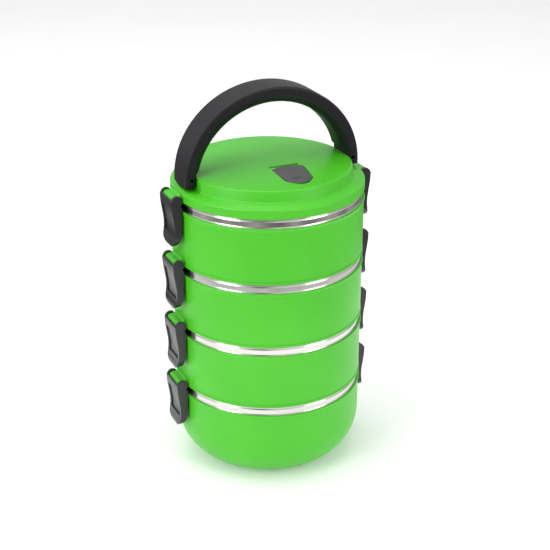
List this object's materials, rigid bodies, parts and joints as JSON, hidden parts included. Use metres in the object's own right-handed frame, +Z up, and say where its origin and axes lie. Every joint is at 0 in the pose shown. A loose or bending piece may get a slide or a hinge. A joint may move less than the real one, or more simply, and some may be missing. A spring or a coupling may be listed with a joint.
{
  "type": "tiffin carrier",
  "caption": "Round stacking lunch carrier: steel-lined green tiers held by black toggle clips at both sides, vented lid and arched carrying handle",
  "frame": {"origin": "centre of the bottom tier's underside, on the stack's axis", "axes": "+Z up along the stack, X through the clips and the ends of the handle, -Y towards the front with the vent flap"},
  "size_m": [0.1626, 0.1462, 0.2988],
  "materials": {
    "plastic_green": "smooth satin-gloss injection-moulded polypropylene",
    "plastic_black": "fine satin moulded texture",
    "plastic_grey": "satin moulded",
    "plastic_liner": "plain moulded inner plate",
    "seal_rubber": "soft translucent silicone",
    "steel_bowl": "spun stainless steel with fine turned lines",
    "steel_pin": "drawn steel rod"
  },
  "bodies": {
    "tier_4": {"tier_4_shell": "plastic_green", "tier_4_bowl": "steel_bowl"},
    "tier_3": {"tier_3_bowl": "steel_bowl", "tier_3_seal": "seal_rubber", "tier_3_shell": "plastic_green", "tier_3_clip_pin_left": "steel_pin", "tier_3_clip_pin_right": "steel_pin"},
    "tier_2": {"tier_2_bowl": "steel_bowl", "tier_2_seal": "seal_rubber", "tier_2_shell": "plastic_green", "tier_2_clip_pin_left": "steel_pin", "tier_2_clip_pin_right": "steel_pin"},
    "tier_1": {"tier_1_bowl": "steel_bowl", "tier_1_seal": "seal_rubber", "tier_1_shell": "plastic_green", "tier_1_clip_pin_left": "steel_pin", "tier_1_clip_pin_right": "steel_pin"},
    "lid": {"lid_shell": "plastic_green", "lid_liner": "plastic_liner", "lid_seal": "seal_rubber", "vent_pin": "steel_pin", "handle_pin_left": "steel_pin", "handle_pin_right": "steel_pin", "lid_clip_pin_left": "steel_pin", "lid_clip_pin_right": "steel_pin"},
    "handle": {"handle": "plastic_black"},
    "vent_flap": {"vent_flap": "plastic_grey"},
    "lid_clip_left": {"lid_clip_left": "plastic_black"},
    "lid_clip_right": {"lid_clip_right": "plastic_black"},
    "tier_1_clip_left": {"tier_1_clip_left": "plastic_black"},
    "tier_1_clip_right": {"tier_1_clip_right": "plastic_black"},
    "tier_2_clip_left": {"tier_2_clip_left": "plastic_black"},
    "tier_2_clip_right": {"tier_2_clip_right": "plastic_black"},
    "tier_3_clip_left": {"tier_3_clip_left": "plastic_black"},
    "tier_3_clip_right": {"tier_3_clip_right": "plastic_black"}
  },
  "joints": [
    {"name": "tier_3_lift", "type": "slide", "parent": "tier_4", "child": "tier_3", "axis": [0, 0, 1], "range_m": [0, 0.045]},
    {"name": "tier_2_lift", "type": "slide", "parent": "tier_3", "child": "tier_2", "axis": [0, 0, 1], "range_m": [0, 0.045]},
    {"name": "tier_1_lift", "type": "slide", "parent": "tier_2", "child": "tier_1", "axis": [0, 0, 1], "range_m": [0, 0.045]},
    {"name": "lid_lift", "type": "slide", "parent": "tier_1", "child": "lid", "axis": [0, 0, 1], "range_m": [0, 0.045]},
    {"name": "lid_clip_left_hinge", "type": "hinge", "parent": "lid", "child": "lid_clip_left", "pos_m": [-0.0768, 0, 0.2222], "axis": [0, 1, 0], "range_deg": [-2.5, 95]},
    {"name": "lid_clip_right_hinge", "type": "hinge", "parent": "lid", "child": "lid_clip_right", "pos_m": [0.0768, 0, 0.2222], "axis": [0, -1, 0], "range_deg": [-2.5, 95]},
    {"name": "tier_1_clip_left_hinge", "type": "hinge", "parent": "tier_1", "child": "tier_1_clip_left", "pos_m": [-0.0768, 0, 0.1718], "axis": [0, 1, 0], "range_deg": [-2.5, 95]},
    {"name": "tier_1_clip_right_hinge", "type": "hinge", "parent": "tier_1", "child": "tier_1_clip_right", "pos_m": [0.0768, 0, 0.1718], "axis": [0, -1, 0], "range_deg": [-2.5, 95]},
    {"name": "tier_2_clip_left_hinge", "type": "hinge", "parent": "tier_2", "child": "tier_2_clip_left", "pos_m": [-0.0768, 0, 0.1214], "axis": [0, 1, 0], "range_deg": [-2.5, 95]},
    {"name": "tier_2_clip_right_hinge", "type": "hinge", "parent": "tier_2", "child": "tier_2_clip_right", "pos_m": [0.0768, 0, 0.1214], "axis": [0, -1, 0], "range_deg": [-2.5, 95]},
    {"name": "tier_3_clip_left_hinge", "type": "hinge", "parent": "tier_3", "child": "tier_3_clip_left", "pos_m": [-0.0768, 0, 0.071], "axis": [0, 1, 0], "range_deg": [-2.5, 95]},
    {"name": "tier_3_clip_right_hinge", "type": "hinge", "parent": "tier_3", "child": "tier_3_clip_right", "pos_m": [0.0768, 0, 0.071], "axis": [0, -1, 0], "range_deg": [-2.5, 95]},
    {"name": "handle_swing", "type": "hinge", "parent": "lid", "child": "handle", "pos_m": [0, 0, 0.2342], "axis": [1, 0, 0], "range_deg": [-12, 12]},
    {"name": "vent_flap_hinge", "type": "hinge", "parent": "lid", "child": "vent_flap", "pos_m": [0.0046, -0.0175, 0.239], "axis": [-1, 0, 0], "range_deg": [0, 70]}
  ]
}
